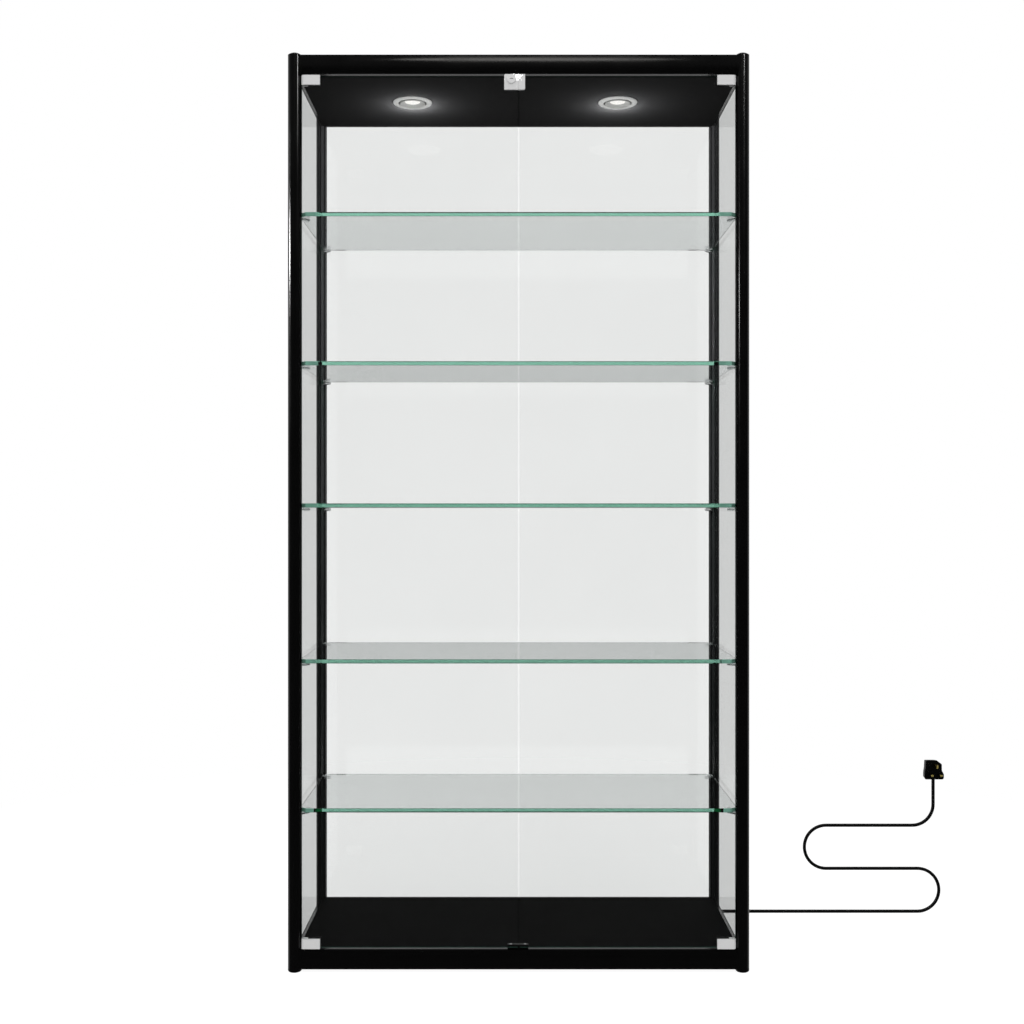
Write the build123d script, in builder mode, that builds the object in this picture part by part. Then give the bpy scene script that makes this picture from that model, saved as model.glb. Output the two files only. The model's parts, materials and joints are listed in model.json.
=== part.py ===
from build123d import *
import os
from math import sqrt

os.makedirs("parts", exist_ok=True)

# ---------------------------------------------------------------------------
# Glazed display cabinet on four round aluminium posts, millimetres, +Z up.
# The floor is z = 0, +X is to the right of somebody facing the doors, and the
# doors are on the -Y side.  All dimensions below are measured from the middle
# of the cabinet; CX and CY move the whole model so that the origin is the
# middle of its bounding box on the floor, mains lead included.
# ---------------------------------------------------------------------------
CX, CY = -276.5, -11.75

HEIGHT = 1990.0            # floor to the top of the post caps
POST_X, POST_Y = 485.0, 185.0   # post centre lines
POST_R = 15.0
POST_BORE = 6.0
CAP_H = 7.0                # domed caps and feet beyond the rails
RAIL_LOW, RAIL_HIGH = 7.0, 49.0     # bottom rails; the top ones mirror them
RAIL_IN = 8.0              # inner face of a rail from the post centre line
RAIL_EDGE, RAIL_CROWN = 10.5, 12.5  # outer edges and crown of the convex face
SLIM_EDGE, SLIM_CROWN = 4.8, 7.6    # the same on the slimmer glazed rails
OUTER_LIP = 45.0           # the outer lip of a glazing groove is the lower one
WALL = 2.0
GLASS = 5.0                # panes and doors
SHELF_T = 9.0
SHELF_X, SHELF_FRONT, SHELF_BACK = 476.0, -184.0, 178.0
SHELF_CUT = 14.0           # 45 degree corners
SHELF_Z = [1641.1, 1317.7, 1009.2, 670.8, 347.6]   # middles, top one first
PIVOT_X, DOOR_Y = 463.0, -191.0     # door pivots and middle of the door glass
DOOR_GAP = 4.0
BUSH_R = 4.2
DOOR_LOW, DOOR_HIGH = 53.5, 1936.5
LOCK_X, LOCK_Z = -15.4, 1930.0      # lock barrel axis
SPOTS = [(-244.0, -5.0), (230.0, -5.0)]
SPOT_PIVOT_Z = 1939.2
CABLE_R = 4.0
CABLE_Y = 212.5

CORNERS = [(-1, -1), (1, -1), (-1, 1), (1, 1)]     # signs of x and y
POSTS = [(sx * POST_X, sy * POST_Y) for sx, sy in CORNERS]
CEILING = HEIGHT - RAIL_HIGH        # underside of the ceiling and top rails
GROOVE = 6.2                        # width of the glazing grooves


def level(z, x=0.0, y=0.0):
    """Horizontal plane at height z; a sketch on it extrudes upwards."""
    return Plane(origin=(CX + x, CY + y, z), x_dir=(1, 0, 0), z_dir=(0, 0, 1))


def front(y, x=0.0, z=0.0):
    """Upright plane seen from the doors; local (x, y) is (X, Z), extrudes to -Y."""
    return Plane(origin=(CX + x, CY + y, z), x_dir=(1, 0, 0), z_dir=(0, -1, 0))


def side(x, y=0.0, z=0.0):
    """Upright plane across the cabinet; local (x, y) is (Y, Z), extrudes to +X."""
    return Plane(origin=(CX + x, CY + y, z), x_dir=(0, 1, 0), z_dir=(1, 0, 0))


def block(x0, x1, y0, y1, z0, z1, mode=Mode.ADD):
    """Rectangular bar between two opposite corners."""
    with BuildSketch(level(z0, (x0 + x1) / 2, (y0 + y1) / 2)) as s:
        Rectangle(abs(x1 - x0), abs(y1 - y0))
    extrude(s.sketch, amount=z1 - z0, mode=mode)


def rod(plane, radius, length, mode=Mode.ADD):
    """Round bar standing on a plane."""
    with BuildSketch(plane) as s:
        Circle(radius)
    extrude(s.sketch, amount=length, mode=mode)


def keep(piece, name):
    piece.part.label = name
    export_step(piece.part, f"parts/{name}.step")


# ---------------------------------------------------------------------------
# Posts: round extrusion with a screw bore, two glazing grooves with an
# undercut, and a T slot on the inward diagonal that carries the shelf pins.
# ---------------------------------------------------------------------------
post_names = ["post_front_left", "post_front_right", "post_rear_left", "post_rear_right"]
for (sx, sy), (px, py), name in zip(CORNERS, POSTS, post_names):
    ix, iy = -sx, -sy
    turn = {(1, 1): 45, (-1, 1): 135, (1, -1): -45, (-1, -1): -135}[(ix, iy)]
    d = 1 / sqrt(2)
    with BuildPart() as post:
        with BuildSketch(level(RAIL_LOW, px, py)) as sec:
            Circle(POST_R)
            Circle(POST_BORE, mode=Mode.SUBTRACT)
            with Locations((13.45 * d * ix, 13.45 * d * iy)):
                Rectangle(5.1, 5.6, rotation=turn, mode=Mode.SUBTRACT)
            with Locations((9.75 * d * ix, 9.75 * d * iy)):
                Rectangle(2.5, 8.0, rotation=turn, mode=Mode.SUBTRACT)
            with Locations((13.25 * ix, 0)):
                Rectangle(5.5, GROOVE, mode=Mode.SUBTRACT)
            with Locations((11.5 * ix, 0)):
                Rectangle(2.0, 8.0, mode=Mode.SUBTRACT)
            with Locations((0, 13.25 * iy)):
                Rectangle(GROOVE, 5.5, mode=Mode.SUBTRACT)
            with Locations((0, 11.5 * iy)):
                Rectangle(8.0, 2.0, mode=Mode.SUBTRACT)
        extrude(amount=HEIGHT - 2 * RAIL_LOW)
        if name == "post_rear_right":
            # drillings that take the lamp wire from the T slot into the bore
            for z in (22.0, 1966.0):
                rod(Plane(origin=(CX + px, CY + py, z), z_dir=(-1, -1, 0)), 2.1, 9.0, Mode.SUBTRACT)
    keep(post, name)

# ---------------------------------------------------------------------------
# Caps and feet: a dome over the post end and a stem in its bore.
# ---------------------------------------------------------------------------
RIM_Z = HEIGHT - CAP_H + 1.6
DOME_R = (POST_R**2 + (HEIGHT - RIM_Z) ** 2) / (2 * (HEIGHT - RIM_Z))
DOME_Z = HEIGHT - DOME_R            # centre of the spherical dome
with BuildPart() as post_top_caps:
    for px, py in POSTS:
        with BuildSketch(Plane(origin=(CX + px, CY + py, 0), x_dir=(1, 0, 0), z_dir=(0, -1, 0))) as s:
            with BuildLine():
                Line((0, 1973), (5.9, 1973))
                Line((5.9, 1973), (5.9, 1983))
                Line((5.9, 1983), (15, 1983))
                Line((15, 1983), (15, RIM_Z))
                ThreePointArc((15, RIM_Z), (8, DOME_Z + sqrt(DOME_R**2 - 64)), (0, HEIGHT))
                Line((0, HEIGHT), (0, 1973))
            make_face()
        revolve(axis=Axis((CX + px, CY + py, 0), (0, 0, 1)))
keep(post_top_caps, "post_top_caps")

with BuildPart() as post_foot_caps:
    for px, py in POSTS:
        with BuildSketch(Plane(origin=(CX + px, CY + py, 0), x_dir=(1, 0, 0), z_dir=(0, -1, 0))) as s:
            with BuildLine():
                Line((0, 17), (5.9, 17))
                Line((5.9, 17), (5.9, 7))
                Line((5.9, 7), (15, 7))
                Line((15, 7), (15, 3.6))
                ThreePointArc((15, 3.6), (14.1, 1.4), (11.5, 0))
                Line((11.5, 0), (0, 0))
                Line((0, 0), (0, 17))
            make_face()
        revolve(axis=Axis((CX + px, CY + py, 0), (0, 0, 1)))
keep(post_foot_caps, "post_foot_caps")

# ---------------------------------------------------------------------------
# Rails: hollow section with a convex outer face, a ledge for the deck or
# ceiling panel, a small ledge for the roof sheet and, where a pane stands in
# it, a glazing groove.  The bottom section is turned over for the top.
# ---------------------------------------------------------------------------
RAILS = []
for top in (False, True):
    where = "top" if top else "bottom"
    RAILS += [
        (f"{where}_front_rail", top, "x", -1, False),
        (f"{where}_rear_rail", top, "x", 1, True),
        (f"{where}_left_rail", top, "y", -1, True),
        (f"{where}_right_rail", top, "y", 1, True),
    ]

for name, top, along, s, glazed in RAILS:
    centre = POST_Y if along == "x" else POST_X
    half = POST_X if along == "x" else POST_Y
    inner = centre - RAIL_IN
    edge = centre + (SLIM_EDGE if glazed else RAIL_EDGE)
    crown = centre + (SLIM_CROWN if glazed else RAIL_CROWN)
    base = side(-half) if along == "x" else front(half)
    mid = (RAIL_LOW + RAIL_HIGH) / 2

    def P(u, v):
        return (s * u, HEIGHT - v if top else v)

    def at(u0, u1, v0, v1):
        """Middle of a rectangle in the section."""
        return P((u0 + u1) / 2, (v0 + v1) / 2)

    with BuildPart() as rail:
        with BuildSketch(base) as sec:
            with BuildLine():
                Line(P(inner, RAIL_LOW), P(edge, RAIL_LOW))
                ThreePointArc(P(edge, RAIL_LOW), P(crown, mid), P(edge, RAIL_HIGH))
                Line(P(edge, RAIL_HIGH), P(inner, RAIL_HIGH))
                Line(P(inner, RAIL_HIGH), P(inner, RAIL_LOW))
            make_face()
            with BuildLine():
                Line(P(inner + WALL, RAIL_LOW + WALL), P(edge - 1.6, RAIL_LOW + WALL))
                ThreePointArc(P(edge - 1.6, RAIL_LOW + WALL), P(crown - WALL, mid), P(edge - 1.6, RAIL_HIGH - WALL))
                Line(P(edge - 1.6, RAIL_HIGH - WALL), P(inner + WALL, RAIL_HIGH - WALL))
                Line(P(inner + WALL, RAIL_HIGH - WALL), P(inner + WALL, RAIL_LOW + WALL))
            make_face(mode=Mode.SUBTRACT)
            if glazed:
                with Locations(at(centre - 4.8, centre + 4.8, 36.5, 49)):
                    Rectangle(9.6, 12.5)
                with Locations(at(centre - 3.1, centre + 3.1, 38, 50)):
                    Rectangle(GROOVE, 12.0, mode=Mode.SUBTRACT)
                with Locations(at(centre + 2, centre + 9, OUTER_LIP, 50)):
                    Rectangle(7.0, 50 - OUTER_LIP, mode=Mode.SUBTRACT)
        extrude(amount=2 * half)
        # ledges stop short of the posts
        ledge_from = side(-half + 30) if along == "x" else front(half - 30)
        with BuildSketch(ledge_from) as ledges:
            with Locations(at(inner - 8, inner + 1, 31, 33)):
                Rectangle(9.0, 2.0)
            with Locations(at(inner - 4, inner + 1, 10, 12)):
                Rectangle(5.0, 2.0)
        extrude(amount=2 * half - 60)
        # ends coped to the round posts
        with BuildSketch(level(0)) as copes:
            with Locations(*POSTS):
                Circle(POST_R + 0.05)
        extrude(amount=HEIGHT, mode=Mode.SUBTRACT)
        if along == "x" and s < 0:
            # seats for the pivot bushes
            with BuildSketch(level(CEILING - 1 if top else RAIL_HIGH - 7)) as seats:
                with Locations((-PIVOT_X, DOOR_Y), (PIVOT_X, DOOR_Y)):
                    Circle(BUSH_R)
            extrude(amount=8, mode=Mode.SUBTRACT)
            if top:
                block(-15, -6, -187.2, -183.4, CEILING - 1, CEILING + WALL + 1, Mode.SUBTRACT)
            else:
                with BuildSketch(level(RAIL_HIGH - WALL - 1)) as stop_holes:
                    with Locations((-17, -182.6), (14, -182.6)):
                        Circle(1.6)
                extrude(amount=WALL + 2, mode=Mode.SUBTRACT)
        if name == "bottom_rear_rail":
            # mains lead: inner hole, and a larger one outside for the gland
            rod(front(182, 380, 20), 4.4, 8, Mode.SUBTRACT)
            rod(front(198.6, 380, 20), 6.0, 12, Mode.SUBTRACT)
        if along == "y":
            # clearance holes for the panel screws in the long ledge
            with BuildSketch(level(min(P(0, 34)[1], P(0, 30)[1]))) as screw_holes:
                with Locations(*[(s * (inner - 4), y) for y in (-120, 0, 120)]):
                    Circle(2.1)
            extrude(amount=4, mode=Mode.SUBTRACT)
    keep(rail, name)

# ---------------------------------------------------------------------------
# Rail locks: a cast block in each rail end with a T tongue in the post groove.
# ---------------------------------------------------------------------------
with BuildPart() as rail_locks:
    for sx, sy in CORNERS:
        for v0, v1 in ((14, 30), (HEIGHT - 30, HEIGHT - 14)):
            # in the front or rear rail
            x0, x1 = 447.0, 469.0
            yc = sy * POST_Y
            block(min(sx * x0, sx * x1), max(sx * x0, sx * x1), yc - 5.5, yc + 4.2 if sy > 0 else yc + 5.5, v0, v1)
            block(min(sx * 468, sx * 474.3), max(sx * 468, sx * 474.3), yc - 2.8, yc + 2.8, v0 + 2, v1 - 2)
            block(min(sx * 472.7, sx * 474.3), max(sx * 472.7, sx * 474.3), yc - 3.8, yc + 3.8, v0 + 2, v1 - 2)
            # in the side rail
            y0, y1 = 147.0, 169.0
            xc = sx * POST_X
            block(sx * 479.5 if sx > 0 else xc - 4.2, xc + 4.2 if sx > 0 else sx * 479.5, min(sy * y0, sy * y1), max(sy * y0, sy * y1), v0, v1)
            block(xc - 2.8, xc + 2.8, min(sy * 168, sy * 174.3), max(sy * 168, sy * 174.3), v0 + 2, v1 - 2)
            block(xc - 3.8, xc + 3.8, min(sy * 172.7, sy * 174.3), max(sy * 172.7, sy * 174.3), v0 + 2, v1 - 2)
keep(rail_locks, "rail_locks")

# ---------------------------------------------------------------------------
# Panels
# ---------------------------------------------------------------------------
PANEL_X, PANEL_Y = POST_X - RAIL_IN - 0.2, POST_Y - RAIL_IN - 0.2
SCREW_X = POST_X - RAIL_IN - 4
SCREWS = [(sx * SCREW_X, y) for sx in (-1, 1) for y in (-120, 0, 120)]

with BuildPart() as deck_panel:
    block(-PANEL_X, PANEL_X, -PANEL_Y, PANEL_Y, 33, 49)
    with BuildSketch(level(0)) as notches:
        with Locations(*POSTS):
            Circle(POST_R + 0.4)
    extrude(amount=HEIGHT, mode=Mode.SUBTRACT)
    with BuildSketch(level(32)) as pilots:
        with Locations(*SCREWS):
            Circle(1.7)
    extrude(amount=12.5, mode=Mode.SUBTRACT)
keep(deck_panel, "deck_panel")

with BuildPart() as ceiling_panel:
    block(-PANEL_X, PANEL_X, -PANEL_Y, PANEL_Y, CEILING, CEILING + 16)
    with BuildSketch(level(0)) as notches:
        with Locations(*POSTS):
            Circle(POST_R + 0.4)
    extrude(amount=HEIGHT, mode=Mode.SUBTRACT)
    with BuildSketch(level(CEILING - 1)) as lamp_holes:
        with Locations(*SPOTS):
            Circle(37.5)
    extrude(amount=20, mode=Mode.SUBTRACT)
    with BuildSketch(level(CEILING + 4)) as pilots:
        with Locations(*SCREWS):
            Circle(1.7)
    extrude(amount=14, mode=Mode.SUBTRACT)
keep(ceiling_panel, "ceiling_panel")

with BuildPart() as roof_panel:
    block(-PANEL_X, PANEL_X, -PANEL_Y, PANEL_Y, HEIGHT - 10, HEIGHT - 7)
    with BuildSketch(level(0)) as notches:
        with Locations(*POSTS):
            Circle(POST_R + 0.4)
    extrude(amount=HEIGHT, mode=Mode.SUBTRACT)
keep(roof_panel, "roof_panel")

with BuildPart() as panel_screws:
    for x, y in SCREWS:
        rod(level(31, x, y), 1.65, 12.5)
        rod(level(28.6, x, y), 3.6, 2.4)
        rod(level(HEIGHT - 43.5, x, y), 1.65, 12.5)
        rod(level(HEIGHT - 31, x, y), 3.6, 2.4)
    for x in (-17, 14):
        rod(level(47, x, -182.6), 1.55, 9.0)
        rod(level(56, x, -182.6), 3.0, 1.8)
keep(panel_screws, "panel_screws")

# ---------------------------------------------------------------------------
# Fixed glass, its gaskets and the strips that fill the front posts' grooves
# ---------------------------------------------------------------------------
PANE_LOW, PANE_HIGH = 39.2, HEIGHT - 39.2
for sx, name in ((-1, "side_glass_left"), (1, "side_glass_right")):
    with BuildPart() as pane:
        xc = sx * POST_X
        block(xc - GLASS / 2, xc + GLASS / 2, -174.1, 174.1, PANE_LOW, PANE_HIGH)
    keep(pane, name)
with BuildPart() as back_glass:
    block(-474.1, 474.1, POST_Y - GLASS / 2, POST_Y + GLASS / 2, PANE_LOW, PANE_HIGH)
keep(back_glass, "back_glass")

with BuildPart() as glazing_seals:
    for z0, z1, cut0, cut1 in ((38, 48.8, PANE_LOW, 50), (HEIGHT - 48.8, HEIGHT - 38, HEIGHT - 50, PANE_HIGH)):
        # the outer leg is as much shorter as the outer lip of the groove
        lip0, lip1 = (OUTER_LIP - 0.2, 50) if z0 < 1000 else (HEIGHT - 50, HEIGHT - OUTER_LIP + 0.2)
        for sx in (-1, 1):
            xc = sx * POST_X
            block(xc - 3.1, xc + 3.1, -169.8, 169.8, z0, z1)
            block(xc - 2.5, xc + 2.5, -170, 170, cut0, cut1, Mode.SUBTRACT)
            block(min(xc, xc + 4 * sx), max(xc, xc + 4 * sx), -170, 170, lip0, lip1, Mode.SUBTRACT)
        block(-469.8, 469.8, POST_Y - 3.1, POST_Y + 3.1, z0, z1)
        block(-470, 470, POST_Y - 2.5, POST_Y + 2.5, cut0, cut1, Mode.SUBTRACT)
        block(-470, 470, POST_Y, POST_Y + 4, lip0, lip1, Mode.SUBTRACT)
    for sx, sy in CORNERS:
        xc = sx * POST_X
        for x0, x1 in ((xc - 3.1, xc - 2.5), (xc + 2.5, xc + 3.1)):
            block(x0, x1, min(sy * 170.4, sy * 174.3), max(sy * 170.4, sy * 174.3), 49, CEILING)
        if sy > 0:
            for y0, y1 in ((POST_Y - 3.1, POST_Y - 2.5), (POST_Y + 2.5, POST_Y + 3.1)):
                block(min(sx * 470.4, sx * 474.3), max(sx * 470.4, sx * 474.3), y0, y1, 49, CEILING)
keep(glazing_seals, "glazing_seals")

with BuildPart() as front_post_strips:
    for sx in (-1, 1):
        with BuildSketch(level(49.2, sx * POST_X, -POST_Y)) as s:
            Circle(POST_R - 0.1)
            with Locations((-sx * 12.8, 0)):
                Rectangle(4.4, GROOVE - 0.1, mode=Mode.INTERSECT)
        extrude(amount=CEILING - 49.4)
keep(front_post_strips, "front_post_strips")

# ---------------------------------------------------------------------------
# Shelves and their diagonal pins
# ---------------------------------------------------------------------------
for n, zc in enumerate(SHELF_Z, 1):
    with BuildPart() as shelf:
        with BuildSketch(level(zc - SHELF_T / 2)) as outline:
            with BuildLine():
                Polyline(
                    (-SHELF_X + SHELF_CUT, SHELF_FRONT), (SHELF_X - SHELF_CUT, SHELF_FRONT),
                    (SHELF_X, SHELF_FRONT + SHELF_CUT), (SHELF_X, SHELF_BACK - SHELF_CUT),
                    (SHELF_X - SHELF_CUT, SHELF_BACK), (-SHELF_X + SHELF_CUT, SHELF_BACK),
                    (-SHELF_X, SHELF_BACK - SHELF_CUT), (-SHELF_X, SHELF_FRONT + SHELF_CUT),
                    close=True,
                )
            make_face()
        extrude(amount=SHELF_T)
        chamfer(shelf.edges().filter_by(Plane.XY), 0.5)
    keep(shelf, f"shelf_{n}")
    # steel pins with clear sleeves, heads behind the lips of the T slots
    with BuildPart() as pins:
        z = zc - SHELF_T / 2 - 3.75
        for (sx, sy), (px, py) in zip(CORNERS, POSTS):
            d = 1 / sqrt(2)

            def out(r):
                return Plane(
                    origin=(CX + px - sx * d * r, CY + py - sy * d * r, z), z_dir=(-sx, -sy, 0)
                )

            rod(out(8.6), 3.6, 2.2)
            rod(out(8.6), 2.4, 29.4)
    with BuildPart() as sleeves:
        for (sx, sy), (px, py) in zip(CORNERS, POSTS):
            d = 1 / sqrt(2)

            def out(r):
                return Plane(
                    origin=(CX + px - sx * d * r, CY + py - sy * d * r, z), z_dir=(-sx, -sy, 0)
                )

            with BuildSketch(out(15.3)) as ring:
                Circle(3.75)
                Circle(2.42, mode=Mode.SUBTRACT)
            extrude(amount=22.2)
    supports = Compound(label=f"shelf_{n}_supports", children=[*pins.part.solids(), *sleeves.part.solids()])
    export_step(supports, f"parts/shelf_{n}_supports.step")

# ---------------------------------------------------------------------------
# Doors: 5 mm glass on two pivot clamps each.  a is the distance from the
# middle of the cabinet, so one description serves both hands.
# ---------------------------------------------------------------------------
CLAMP_H = 21.0
CLAMP_LOW = [51.5, HEIGHT - 51.5 - CLAMP_H]
for sx, hand in ((-1, "left"), (1, "right")):

    def bar(a0, a1, y0, y1, z0, z1, mode=Mode.ADD):
        block(min(sx * a0, sx * a1), max(sx * a0, sx * a1), y0, y1, z0, z1, mode)

    glass0, glass1 = DOOR_Y - GLASS / 2, DOOR_Y + GLASS / 2
    with BuildPart() as door_glass:
        bar(DOOR_GAP / 2, PIVOT_X + 6, glass0, glass1, DOOR_LOW, DOOR_HIGH)
        bar(457, 475, glass0 - 1, glass1 + 1, DOOR_LOW - 1, DOOR_LOW + 10.5, Mode.SUBTRACT)
        bar(457, 475, glass0 - 1, glass1 + 1, DOOR_HIGH - 10.5, DOOR_HIGH + 1, Mode.SUBTRACT)
        for z0 in CLAMP_LOW:
            for a in (436.5, 449):
                rod(front(glass1 + 1, sx * a, z0 + 11), 4.5, GLASS + 2, Mode.SUBTRACT)
        if hand == "left":
            bar(0, 26.2, glass0 - 1, glass1 + 1, 1918.3, 1940, Mode.SUBTRACT)
    keep(door_glass, f"{hand}_door_glass")

    # clamp bodies with their pivot pins, and the plates behind the glass
    with BuildPart() as clamps:
        for z0 in CLAMP_LOW:
            z1 = z0 + CLAMP_H
            low = z0 < 1000
            bar(429, PIVOT_X, -198, -184, z0, z1)
            rod(level(z0, sx * PIVOT_X, DOOR_Y), 7.0, CLAMP_H)
            rod(level(z0 - 8.0 if low else z1, sx * PIVOT_X, DOOR_Y), 3.0, 8.0)
            # slot for the glass, which is notched round the pivot
            if low:
                bar(426, 457.1, glass0 - 0.1, glass1 + 0.1, DOOR_LOW - 0.1, z1 + 1, Mode.SUBTRACT)
                bar(426, 475, glass0 - 0.1, glass1 + 0.1, DOOR_LOW + 10.4, z1 + 1, Mode.SUBTRACT)
            else:
                bar(426, 457.1, glass0 - 0.1, glass1 + 0.1, z0 - 1, DOOR_HIGH + 0.1, Mode.SUBTRACT)
                bar(426, 475, glass0 - 0.1, glass1 + 0.1, z0 - 1, DOOR_HIGH - 10.4, Mode.SUBTRACT)
            # room for the rear plate
            bar(426, 456.4, glass1 + 0.1, -183, z0 - 1, z1 + 1, Mode.SUBTRACT)
            for a in (436.5, 449):
                rod(front(-190, sx * a, z0 + 11), 2.0, 6.5, Mode.SUBTRACT)
        for z0 in CLAMP_LOW:
            # the plate behind the glass is the smaller one
            bar(431.5, 456, glass1 + 0.1, -184, z0 if z0 < 1000 else z0 + 4.8, z0 + 16.2 if z0 < 1000 else z0 + CLAMP_H)
            for a in (436.5, 449):
                rod(front(-183, sx * a, z0 + 11), 2.1, 8, Mode.SUBTRACT)
                rod(front(-183, sx * a, z0 + 11), 3.8, 3.2, Mode.SUBTRACT)
    keep(clamps, f"{hand}_hinge_clamps")

    with BuildPart() as hinge_screws:
        for z0 in CLAMP_LOW:
            for a in (436.5, 449):
                rod(front(-184.2, sx * a, z0 + 11), 3.6, 2.0)
                rod(front(-184.2, sx * a, z0 + 11), 1.95, 12.0)
                rod(front(-183, sx * a, z0 + 11), 1.25, 2.2, Mode.SUBTRACT)
    keep(hinge_screws, f"{hand}_hinge_screws")

with BuildPart() as hinge_bushes:
    for sx in (-1, 1):
        rod(level(49, sx * PIVOT_X, DOOR_Y), 6.5, 2.45)
        rod(level(43, sx * PIVOT_X, DOOR_Y), BUSH_R, 6.0)
        rod(level(40, sx * PIVOT_X, DOOR_Y), 3.05, 14, Mode.SUBTRACT)
        rod(level(CEILING - 2.45, sx * PIVOT_X, DOOR_Y), 6.5, 2.45)
        rod(level(CEILING, sx * PIVOT_X, DOOR_Y), BUSH_R, 6.0)
        rod(level(CEILING - 4, sx * PIVOT_X, DOOR_Y), 3.05, 14, Mode.SUBTRACT)
keep(hinge_bushes, "hinge_bushes")

with BuildPart() as door_stop:
    block(-24, 21, -188.2, -177.2, 49, 57.8)
    chamfer(door_stop.edges().group_by(Axis.Z)[-1], 0.8)
    with BuildSketch(level(48)) as holes:
        with Locations((-17, -182.6), (14, -182.6)):
            Circle(1.6)
    extrude(amount=12, mode=Mode.SUBTRACT)
    with BuildSketch(level(56)) as heads:
        with Locations((-17, -182.6), (14, -182.6)):
            Circle(3.1)
    extrude(amount=3, mode=Mode.SUBTRACT)
keep(door_stop, "door_stop")

# ---------------------------------------------------------------------------
# Lock: turning the barrel a quarter turn lifts the bolt into the top rail and
# pushes the tongue into the strike on the right-hand door.
# ---------------------------------------------------------------------------
PLATE_TOP = CEILING - 0.7
LOCK_BACK = 1913.5          # the half behind the glass is shorter than the plate
with BuildPart() as lock_housing:
    with BuildSketch(front(-193.6)) as plate:
        with Locations(((-31 - 0.1) / 2, (1907 + PLATE_TOP) / 2)):
            Rectangle(30.9, PLATE_TOP - 1907)
        fillet(plate.vertices().group_by(Axis.Z)[0].sort_by(Axis.X)[0], 3.0)
    extrude(amount=3.9)
    block(-26.1, -0.6, -193.6, -188.4, 1918.5, PLATE_TOP)
    block(-29, -0.6, -188.4, -181.9, LOCK_BACK, PLATE_TOP)
    block(-27.5, -2.2, -188.4, -181.0, LOCK_BACK + 1.5, 1938.3, Mode.SUBTRACT)
    rod(front(-186, LOCK_X, LOCK_Z), 8.56, 14, Mode.SUBTRACT)
    block(-14.3, -6.7, -186.6, -184.0, 1938.0, PLATE_TOP + 1, Mode.SUBTRACT)
    block(-3, 0, -184.4, -181.8, 1920.6, 1929.4, Mode.SUBTRACT)
keep(lock_housing, "lock_housing")

with BuildPart() as lock_cover:
    block(-29, -0.6, -181.9, -180.4, LOCK_BACK, PLATE_TOP)
keep(lock_cover, "lock_cover")

with BuildPart() as lock_barrel:
    rod(front(-188.4, LOCK_X, LOCK_Z), 8.5, 9.1)
    rod(front(-197.5, LOCK_X, LOCK_Z), 10.0, 2.5)
    chamfer(lock_barrel.edges().group_by(Axis.Y)[0], 0.6)
    # square spigot for the cam, and the keyway
    block(LOCK_X - 3, LOCK_X + 3, -188.4, -186.5, LOCK_Z - 3, LOCK_Z + 3)
    block(LOCK_X - 3.4, LOCK_X + 3.4, -201, -192, LOCK_Z - 0.7, LOCK_Z + 0.7, Mode.SUBTRACT)
keep(lock_barrel, "lock_barrel")

PIN = 4.0                   # pin offsets at rest, so that it travels 2 x 4 mm
with BuildPart() as lock_cam:
    rod(front(-186.5, LOCK_X, LOCK_Z), 7.6, 1.7)
    rod(front(-184.4, LOCK_X + PIN, LOCK_Z - PIN), 1.25, 2.2)
    rod(front(-182.2, LOCK_X - PIN, LOCK_Z - PIN), 1.25, 4.4)
    block(LOCK_X - 3.05, LOCK_X + 3.05, -190, -185, LOCK_Z - 3.05, LOCK_Z + 3.05, Mode.SUBTRACT)
keep(lock_cam, "lock_cam")

with BuildPart() as lock_bolt:
    block(-14.0, -7.0, -186.3, -184.3, LOCK_Z - 6.8, LOCK_Z + 7.8)
    block(LOCK_X + 2.55, LOCK_X + 7.15, -187, -183, LOCK_Z - 5.6, LOCK_Z - 2.4, Mode.SUBTRACT)
keep(lock_bolt, "lock_bolt")

with BuildPart() as lock_tongue:
    block(LOCK_X - 8, LOCK_X + 14.6, -184.1, -182.1, LOCK_Z - 9, LOCK_Z - 1)
    block(LOCK_X - 5.6, LOCK_X - 2.4, -185, -181, LOCK_Z - 7.1, LOCK_Z - 2.5, Mode.SUBTRACT)
keep(lock_tongue, "lock_tongue")

with BuildPart() as lock_strike:
    with BuildSketch(front(-193.6)) as plate:
        with Locations(((0.1 + 14) / 2, (1907 + PLATE_TOP) / 2)):
            Rectangle(13.9, PLATE_TOP - 1907)
        fillet(plate.vertices().group_by(Axis.Z)[0].sort_by(Axis.X)[-1], 3.0)
    extrude(amount=3.9)
    block(0.6, 1.8, -193.6, -188.4, 1907, PLATE_TOP)
    block(0.6, 14, -193.6, -188.4, DOOR_HIGH + 0.2, PLATE_TOP)
    block(0.6, 12.5, -188.4, -180.4, LOCK_BACK, PLATE_TOP)
    block(0, 11, -184.5, -181.7, 1920.5, 1929.5, Mode.SUBTRACT)
keep(lock_strike, "lock_strike")

# ---------------------------------------------------------------------------
# Spotlights: fixed bezel with collar, spring clips above the ceiling, and a
# gimbal ring with its lamp that tilts about two small trunnions.
# ---------------------------------------------------------------------------
with BuildPart() as spotlight_bezels:
    for x, y in SPOTS:
        with BuildSketch(Plane(origin=(CX + x, CY + y, 0), x_dir=(1, 0, 0), z_dir=(0, -1, 0))) as s:
            with BuildLine():
                Line((31.3, 1941), (31.3, 1938.0))
                ThreePointArc((31.3, 1938.0), (37, 1937.0), (43.6, 1939.2))
                Line((43.6, 1939.2), (45, 1941))
                Line((45, 1941), (37.3, 1941))
                Line((37.3, 1941), (37.3, 1959))
                Line((37.3, 1959), (36, 1959))
                Line((36, 1959), (36, 1941))
                Line((36, 1941), (31.3, 1941))
            make_face()
        revolve(axis=Axis((CX + x, CY + y, 0), (0, 0, 1)))
        for dx in (-1, 1):
            rod(Plane(origin=(CX + x + dx * 30, CY + y, SPOT_PIVOT_Z), z_dir=(dx, 0, 0)), 1.0, 5.0, Mode.SUBTRACT)
keep(spotlight_bezels, "spotlight_bezels")

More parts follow.
